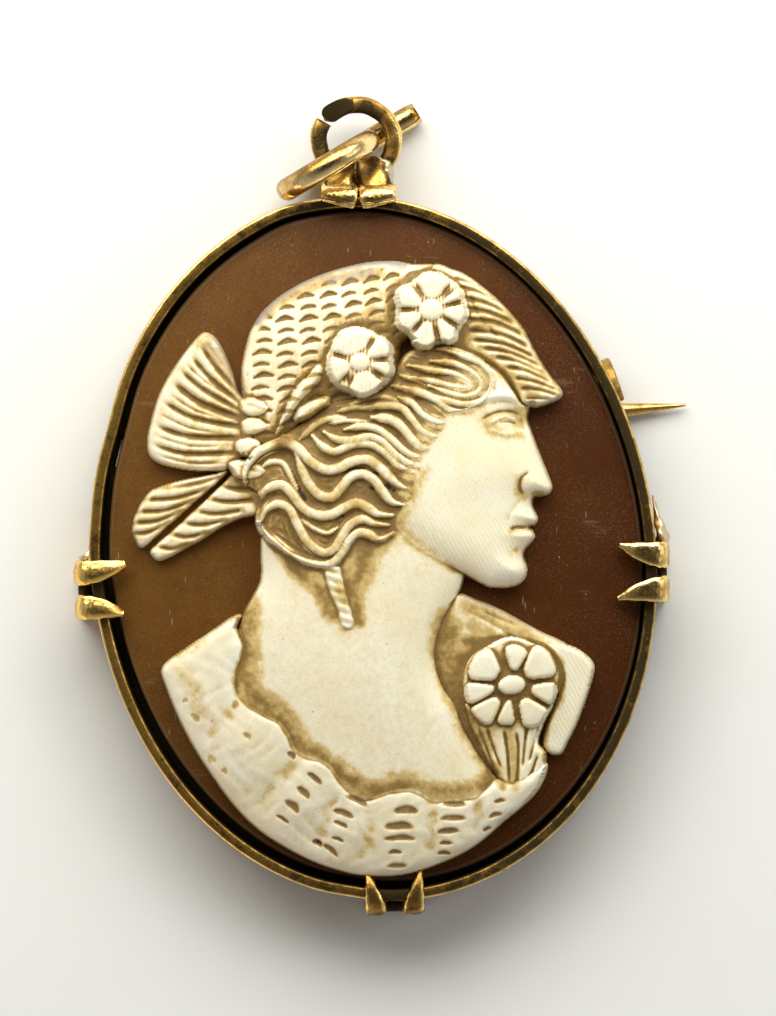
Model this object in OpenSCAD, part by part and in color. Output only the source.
// Oval shell cameo pendant with an eyelet, a jump ring and a brooch pin on its back.
// It lies face up: +Z is out of the face, +Y points to the eyelet, +X is to the wearer's left.
// The origin is the oval's centre on the plane that the back rests on.

/* [Frame] */
// Width across the oval frame, in millimetres
oval_w = 27.3; // [24:0.1:32]
// Length along the oval frame
oval_h = 34.2; // [30:0.1:40]
// Lean of the oval's long axis to the upper left, in degrees
oval_turn = 7.3; // [0:0.1:12]
// Thickness of the frame's band
band_t = 0.55; // [0.4:0.05:1.0]
// Height of the band's back edge above the rest plane
band_z0 = 0.6; // [0.4:0.05:1.2]
// Height of the band's front rim
band_z1 = 3.7; // [3:0.05:5]
// Width of the bearer strip inside the band
bearer_t = 0.55; // [0.4:0.05:1.0]
// Height of the bearer's seat for the shell
seat_z = 1.36; // [1.2:0.02:2]

/* [Shell] */
// Side gap between the shell and the band
shell_gap = 0.26; // [0.1:0.01:0.5]
// Shift of the shell in the frame, to the upper right
shell_shift = [0.15, 0.12];
// Height of the dome's centre
dome_z = 4.8; // [4:0.05:6]
// Radius of the shell's domed front
dome_r = 83; // [50:1:150]
// Radius of the shell's hollow back
back_r = 90; // [50:1:150]
// Gap between the two layers of the shell, which touch in the real one
layer_gap = 0.05; // [0.03:0.01:0.06]
// Height of the white layer where it is flat
relief_h = 0.78; // [0.5:0.01:1.2]

/* [Forks] */
// Thickness of a fork's plate outside the band
fork_t = 0.55; // [0.4:0.05:0.8]
// Half width of a fork
fork_w = 1.42; // [1:0.02:2]
// How far a claw reaches in from its plate
claw_l = 2.3; // [1.8:0.05:3]
// Thickness of a claw
claw_t = 0.5; // [0.3:0.05:0.8]

/* [Eyelet and jump ring] */
// Centre of the eyelet
eyelet_pos = [-0.82, 19.93, 2.15];
// Outer radius of the eyelet
eyelet_ro = 2.2; // [1.8:0.05:2.6]
// Radius of the eyelet's hole
eyelet_ri = 1.43; // [1.2:0.01:1.8]
// Thickness of the eyelet
eyelet_t = 1.0; // [0.7:0.05:1.4]
// Radius of the jump ring's wire
wire_r = 0.585; // [0.4:0.005:0.7]
// Bend radius of the jump ring's centre line
ring_r = 2.275; // [2:0.005:2.8]
// Direction of the jump ring's plane, in degrees from +X
ring_turn = 30.8; // [0:0.1:90]
// Lean of the jump ring towards the pendant
ring_lean = 8; // [0:0.5:15]

/* [Brooch pin] */
// Hinge of the brooch pin
hinge_pos = [-11.2, 4.845, 0.85];
// Direction of the pin, in degrees from +X
pin_turn = 4.9; // [0:0.1:10]
// Slope of the pin down to the rest plane
pin_drop = 1.1; // [0:0.05:2]
// Radius of the pin
pin_r = 0.36; // [0.25:0.01:0.5]
// Length of the pin's straight part, from the hinge
pin_l = 23.5; // [20:0.1:26]
// Length of the pin's point
pin_point = 3.1; // [2:0.1:5]
// Radius of the eye at the pin's end
eye_r = 0.75; // [0.6:0.01:1]
// Width of the eye
eye_w = 1.2; // [0.8:0.05:1.6]
// Radius of the rivet through the eye
rivet_r = 0.35; // [0.25:0.01:0.5]
// Running clearance of the eye on its rivet
run_gap = 0.04; // [0.02:0.01:0.08]
// Centre of the C-catch
catch_pos = [11.5, 8.15, 1.2];

/* [Hidden] */
$fn = 96;
semi_a = oval_w / 2;
semi_b = oval_h / 2;
shell_a = semi_a - band_t - shell_gap;
shell_b = semi_b - band_t - shell_gap;
squash = shell_a / shell_b;
shell_z0 = seat_z + 0.04;
back_sag = back_r - sqrt(back_r * back_r - shell_b * shell_b);
band_steps = 120;
ear_t = 0.6;
ear_gap = 0.05;
ear_r = 0.6;
brown = [0.36, 0.2, 0.12];
ivory = [0.95, 0.91, 0.82];
gold = [0.8, 0.62, 0.33];

function clamp01(v) = max(0, min(1, v));
function ease(v) = let (c = clamp01(v)) c * c * (3 - 2 * c);
function bump(x, y, cx, cy, rx, ry) = clamp01(1 - pow((x - cx) / rx, 2) - pow((y - cy) / ry, 2));

// Point of the band's outside at the ellipse angle t, and the direction that it faces.
function oval_x(t) = semi_a * cos(t) * cos(oval_turn) - semi_b * sin(t) * sin(oval_turn);
function oval_y(t) = semi_a * cos(t) * sin(oval_turn) + semi_b * sin(t) * cos(oval_turn);
function oval_facing(t) = oval_turn + atan2(sin(t) / semi_b, cos(t) / semi_a);

// Height of the brown layer's dome over a point of the plan.
function dome_at(x, y) = let (
    px = x - shell_shift[0],
    py = y - shell_shift[1],
    u = px * cos(oval_turn) + py * sin(oval_turn),
    v = py * cos(oval_turn) - px * sin(oval_turn),
    across = dome_r * squash * squash,
    rho = dome_r - across + sqrt(across * across - u * u)
) dome_z - dome_r + sqrt(rho * rho - v * v);

// Left side of the white layer by height: cap, ribbon bow, its tails, nape and near shoulder.
LEFT = [
    [-15.6, -0.8], [-15.2, -2.5], [-14.5, -4.0], [-13.5, -5.5], [-12.3, -6.7], [-10.6, -7.9], [-8.7, -9.1],
    [-7.2, -9.8], [-6.0, -10.3], [-5.2, -9.8], [-4.3, -8.4], [-3.4, -7.4], [-2.4, -6.1], [-1.6, -5.6],
    [-0.8, -5.4], [-0.4, -10.2], [-0.1, -10.7], [0.6, -11.5], [1.7, -11.5], [2.9, -10.7], [3.5, -8.8],
    [3.9, -9.5], [4.5, -10.7], [5.2, -10.8], [6.2, -10.6], [7.6, -10.2], [9.2, -9.3], [10.5, -8.1],
    [10.7, -6.0], [11.7, -5.1], [12.9, -3.5], [13.6, -1.6], [13.9, -0.6]
];

// Right side by height: far shoulder, a classical profile of the builder's own, cap peak and flower.
RIGHT = [
    [-15.6, 1.3], [-15.2, 3.0], [-14.5, 4.4], [-13.5, 5.8], [-12.3, 7.2], [-10.6, 8.3], [-9.4, 9.3],
    [-7.2, 10.1], [-5.3, 10.4], [-4.6, 9.5], [-3.9, 8.0], [-2.9, 6.1], [-2.3, 4.6], [-2.0, 4.5], [-1.7, 6.4],
    [-1.5, 7.05], [-0.8, 7.4], [-0.3, 7.23], [0.1, 7.3], [0.45, 7.6], [0.7, 7.77], [1.15, 7.5], [1.55, 7.93],
    [2.25, 7.65], [2.6, 7.75], [2.75, 8.4], [3.1, 8.63], [3.5, 8.5], [4.6, 8.06], [5.7, 7.63], [6.45, 7.43],
    [6.9, 7.6], [7.1, 8.3], [7.35, 9.0], [7.6, 9.13], [8.7, 8.4], [9.9, 7.6], [10.7, 7.2], [11.8, 6.3],
    [12.9, 5.1], [13.6, 2.9], [13.9, 1.0]
];

relief_y0 = -15.6;
relief_y1 = 13.9;
relief_rows = 66;
relief_cols = 54;
relief_under = 12;

// A flower is a low dome cut into petals, with a round boss in its middle.
function flower(x, y, cx, cy, r, petals, high) = let (
    d = norm([x - cx, y - cy]) / r,
    a = atan2(y - cy, x - cx)
) d > 1 ? 0 : high * (d < 0.3 ? 0.85 + 0.35 * sqrt(1 - pow(d / 0.3, 2))
    : ease((1 - d) * 4) * (0.75 + 0.25 * cos(petals * a)));

// Locks of hair run across the temple in waves and end in a knot of curls at the nape.
function hair(x, y) = let (m = ease(bump(x, y, -2.0, 2.0, 4.2, 3.9) * 3))
    m * (0.2 + 0.14 * cos(170 * (y - 0.75 * sin(52 * (x + 3.6)))));

// The bow's wing and tails fan out of a knot in soft pleats.
function bow(x, y) = x > -5.2 ? 0 : let (a = atan2(y - 5.2, x + 5.4), m = ease((-5.2 - x) / 1.2))
    -m * (0.2 + 0.1 * cos(y > 3.7 ? 26 * a : 330 * (y + 0.25 * x)));

// The dress hangs in columns of small scallops below a ruffled neckline.
function dress(x, y) = let (m = ease((-9.6 - y - 0.05 * pow(x, 2)) / 0.8))
    m * 0.1 * abs(cos(64 * (x + 0.5 * sin(40 * y)))) * (0.6 + 0.4 * cos(230 * y));

function relief_top(x, y, inset) = let (
    e = clamp01(inset / 0.85),
    face = 0.62 * ease(bump(x, y, 3.4, 3.2, 5.6, 6.6)),
    cap = 0.5 * ease(bump(x, y, 0.4, 9.0, 7.2, 5.4)),
    neck = 0.3 * ease(bump(x, y, 0.3, -3.5, 4.8, 4.6)) - 0.25 * bump(x, y, 5.2, -2.2, 2.4, 1.3),
    bust = 0.55 * ease(bump(x, y, 0, -9.6, 9.6, 6.8)),
    brow = 0.14 * bump(x, y, 6.6, 7.2, 1.7, 0.6) - 0.22 * bump(x, y, 6.8, 6.15, 1.0, 0.55),
    eye = 0.16 * bump(x, y, 6.35, 6.0, 0.75, 0.4),
    cheek = 0.16 * bump(x, y, 5.5, 3.7, 1.9, 1.9),
    lips = 0.1 * bump(x, y, 7.4, 1.6, 0.8, 0.4) + 0.1 * bump(x, y, 7.3, 0.7, 0.7, 0.4)
) sqrt(1 - pow(1 - e, 2)) * (relief_h + face + cap + neck + bust + brow + eye + cheek + lips
    + flower(x, y, -0.68, 9.19, 1.85, 5, 0.55)
    + flower(x, y, 2.76, 11.4, 1.9, 7, 0.5)
    + flower(x, y, 6.63, -6.43, 2.1, 7, 0.45)
    + hair(x, y) + bow(x, y) + dress(x, y));

module oval(a, b, z0, z1) {
    translate([0, 0, z0]) rotate([0, 0, oval_turn]) linear_extrude(height = z1 - z0) scale([a, b]) circle(r = 1);
}

// The band is an oval bent from flat strip in short even steps, inside and outside in step.
module band_oval(inset, z0, z1) {
    translate([0, 0, z0]) rotate([0, 0, oval_turn]) linear_extrude(height = z1 - z0)
        polygon([for (i = [0 : band_steps - 1]) let (t = 360 * i / band_steps)
            [(semi_a - inset) * cos(t), (semi_b - inset) * sin(t)]]);
}

// A solid whose top is curved with one radius along the oval and a smaller one across it.
module domed(along, across, top) {
    rotate([0, 0, oval_turn]) translate([0, 0, top - along]) rotate([0, 90, 0]) rotate_extrude() intersection() {
        translate([along - across, 0]) circle(r = across, $fn = 200);
        translate([along - 12, -20]) square([24, 40]);
    }
}

module cameo_ground() {
    color(brown) translate([shell_shift[0], shell_shift[1], 0]) difference() {
        intersection() {
            oval(shell_a, shell_b, shell_z0, dome_z + 1);
            domed(dome_r, dome_r * squash * squash, dome_z);
        }
        domed(back_r, back_r * squash * squash, shell_z0 + back_sag);
    }
}

module cameo_relief() {
    ys = [for (j = [0 : relief_rows]) relief_y0 + (relief_y1 - relief_y0) * j / relief_rows];
    n = relief_cols + 1;
    k = relief_under + 1;
    tops = [for (j = [0 : relief_rows]) let (xl = lookup(ys[j], LEFT), xr = lookup(ys[j], RIGHT))
        for (i = [0 : relief_cols]) let (
            s = i / relief_cols,
            w = 0.65 * s + 0.35 * (1 - cos(180 * s)) / 2,
            x = xl + (xr - xl) * w,
            inset = min(x - xl, xr - x, (ys[j] - relief_y0) * 1.3 + 0.15, (relief_y1 - ys[j]) * 1.3 + 0.15)
        ) [x, ys[j], dome_at(x, ys[j]) + layer_gap + 0.1 + max(0, relief_top(x, ys[j], inset))]];
    unders = [for (j = [0 : relief_rows]) let (xl = lookup(ys[j], LEFT), xr = lookup(ys[j], RIGHT))
        for (i = [0 : relief_under]) let (x = xl + (xr - xl) * i / relief_under)
            [x, ys[j], dome_at(x, ys[j]) + layer_gap]];
    base = len(tops);
    last = relief_rows;
    up = [for (j = [0 : last - 1]) for (i = [0 : relief_cols - 1]) let (p = j * n + i)
        each [[p, p + n, p + 1], [p + 1, p + n, p + n + 1]]];
    down = [for (j = [0 : last - 1]) for (i = [0 : relief_under - 1]) let (p = base + j * k + i)
        each [[p, p + 1, p + k], [p + 1, p + k + 1, p + k]]];
    sides = [for (j = [0 : last - 1]) let (p = j * n, q = base + j * k)
        each [[p, q, p + n], [q, q + k, p + n],
              [p + relief_cols, p + n + relief_cols, q + relief_under],
              [q + relief_under, p + n + relief_cols, q + k + relief_under]]];
    low = concat([for (i = [0 : relief_cols]) i], [for (i = [relief_under : -1 : 0]) base + i]);
    high = concat([for (i = [relief_cols : -1 : 0]) last * n + i], [for (i = [0 : relief_under]) base + last * k + i]);
    color(ivory) polyhedron(points = concat(tops, unders), faces = concat(up, down, sides, [low], [high]), convexity = 8);
}

// A fork is a plate outside the band with a foot under it and two claws bent over the rim.
module fork(t, plate, reach, half_w, split) {
    top_z = band_z1 + claw_t;
    translate([oval_x(t), oval_y(t), 0]) rotate([0, 0, oval_facing(t)]) translate([plate, 0, 0]) mirror([1, 0, 0]) {
        translate([0, -half_w, 0]) cube([plate + 0.27, half_w * 2, band_z1 - 0.3]);
        translate([0, -half_w * 0.8, 0]) cube([plate + 1.1, half_w * 1.6, band_z0 + 0.05]);
        intersection() {
            translate([0, half_w + 0.1, 0]) rotate([90, 0, 0]) linear_extrude(height = half_w * 2 + 0.2)
                polygon([[0, band_z1 - 0.5], [0, band_z1 + 0.1], [0.3, top_z - 0.04], [reach * 0.5, top_z],
                    [reach * 0.86, top_z - 0.2], [reach, top_z - 0.42], [reach, band_z1 - 0.13],
                    [plate + 0.5, band_z1 - 0.08], [plate + 0.27, band_z1 - 0.5]]);
            translate([0, 0, band_z1 - 1]) linear_extrude(height = 3) for (side = [-1, 1])
                polygon([[0, side * 0.03], [0, side * half_w], [reach * 0.6, side * half_w * 0.98],
                    [reach, side * (half_w * 0.86)], [reach, side * split], [reach * 0.4, side * split * 0.7]]);
        }
    }
}

module eyelet() {
    h = eyelet_t / 2;
    translate(eyelet_pos) rotate_extrude() polygon([
        [eyelet_ri + 0.14, -h], [eyelet_ro - 0.14, -h], [eyelet_ro, -h + 0.14], [eyelet_ro, h - 0.2],
        [eyelet_ro - 0.2, h], [eyelet_ri + 0.14, h], [eyelet_ri, h - 0.14], [eyelet_ri, -h + 0.14]]);
}

module c_catch() {
    difference() {
        translate(catch_pos) rotate([0, 0, 20]) rotate([0, 90, 0]) difference() {
            cylinder(r = 1.2, h = 1.8, center = true);
            cylinder(r = 0.7, h = 2, center = true);
        }
        translate([catch_pos[0] - 2, catch_pos[1] - 2.6, -0.5]) cube([4, 2.05, 2.1]);
        band_oval(band_t, -1, 6);
    }
}

module hinge_ears() {
    translate(hinge_pos) rotate([0, 0, pin_turn]) for (side = [-1, 1])
        translate([0, side * (eye_w / 2 + ear_gap + ear_t / 2), 0]) {
            rotate([90, 0, 0]) cylinder(r = ear_r, h = ear_t, center = true);
            translate([-1.5, -ear_t / 2, -ear_r]) cube([1.5, ear_t, ear_r + 0.45]);
        }
}

module setting_frame() {
    color(gold) difference() {
        union() {
            difference() {
                union() {
                    difference() {
                        band_oval(0, band_z0, band_z1);
                        band_oval(band_t, band_z0 - 1, band_z1 + 1);
                    }
                    difference() {
                        band_oval(band_t - 0.1, band_z0 + 0.02, seat_z);
                        band_oval(band_t + bearer_t, -1, 3);
                    }
                }
                translate([9, 6.25, -0.5]) cube([6, 2.6, 0.5 + 1.3]);
            }
            c_catch();
            fork(180.4, fork_t, claw_l, fork_w, 0.36);
            fork(-9.2, fork_t, claw_l, fork_w, 0.24);
            fork(-94.7, fork_t, 1.95, fork_w * 0.97, 0.24);
            fork(83.8, 1.5, 1.9, 1.85, 0.12);
            eyelet();
            hinge_ears();
        }
        translate(hinge_pos) rotate([0, 0, pin_turn]) rotate([90, 0, 0])
            cylinder(r = rivet_r + 0.012, h = 4, center = true);
        translate([eyelet_pos[0], eyelet_pos[1], 0]) cylinder(r = eyelet_ri, h = 5);
        ring_room();
    }
}

// The top fork's plate stops above the jump ring's tail, which passes below its left end.
module ring_room() {
    translate([-3, 17.75, -0.5]) cube([1.85, 1.2, 0.5 + 1.35]);
}

// The ring is one bent wire: a round bow through the eyelet and a straight tail that lies on the table.
module jump_ring() {
    color(gold) translate([-1.185, 19.47, 0]) rotate([90 + ring_lean, 0, ring_turn])
        translate([-1.25, ring_r + wire_r + 0.01, 0]) {
            rotate([0, 0, -27]) rotate_extrude(angle = 297) translate([ring_r, 0]) circle(r = wire_r - 0.015);
            translate([-0.06, -ring_r, 0]) rotate([0, 90, 0]) cylinder(r = wire_r, h = 5.16);
        }
}

module brooch_pin() {
    color(gold) translate(hinge_pos) rotate([0, pin_drop, pin_turn]) {
        difference() {
            union() {
                rotate([90, 0, 0]) cylinder(r = eye_r, h = eye_w, center = true);
                rotate([0, 90, 0]) cylinder(r = pin_r, h = pin_l);
            }
            rotate([90, 0, 0]) cylinder(r = rivet_r + run_gap, h = eye_w + 1, center = true);
        }
        translate([pin_l - 0.01, 0, 0]) rotate([0, 90, 0]) cylinder(r1 = pin_r, r2 = 0.06, h = pin_point);
    }
}

module hinge_rivet() {
    span = eye_w / 2 + ear_gap + ear_t + 0.012;
    color(gold) translate(hinge_pos) rotate([0, 0, pin_turn]) rotate([90, 0, 0]) {
        cylinder(r = rivet_r, h = span * 2, center = true);
        for (side = [-1, 1]) translate([0, 0, side * (span + 0.09)]) cylinder(r = 0.55, h = 0.18, center = true);
    }
}

cameo_ground();
cameo_relief();
setting_frame();
jump_ring();
brooch_pin();
hinge_rivet();
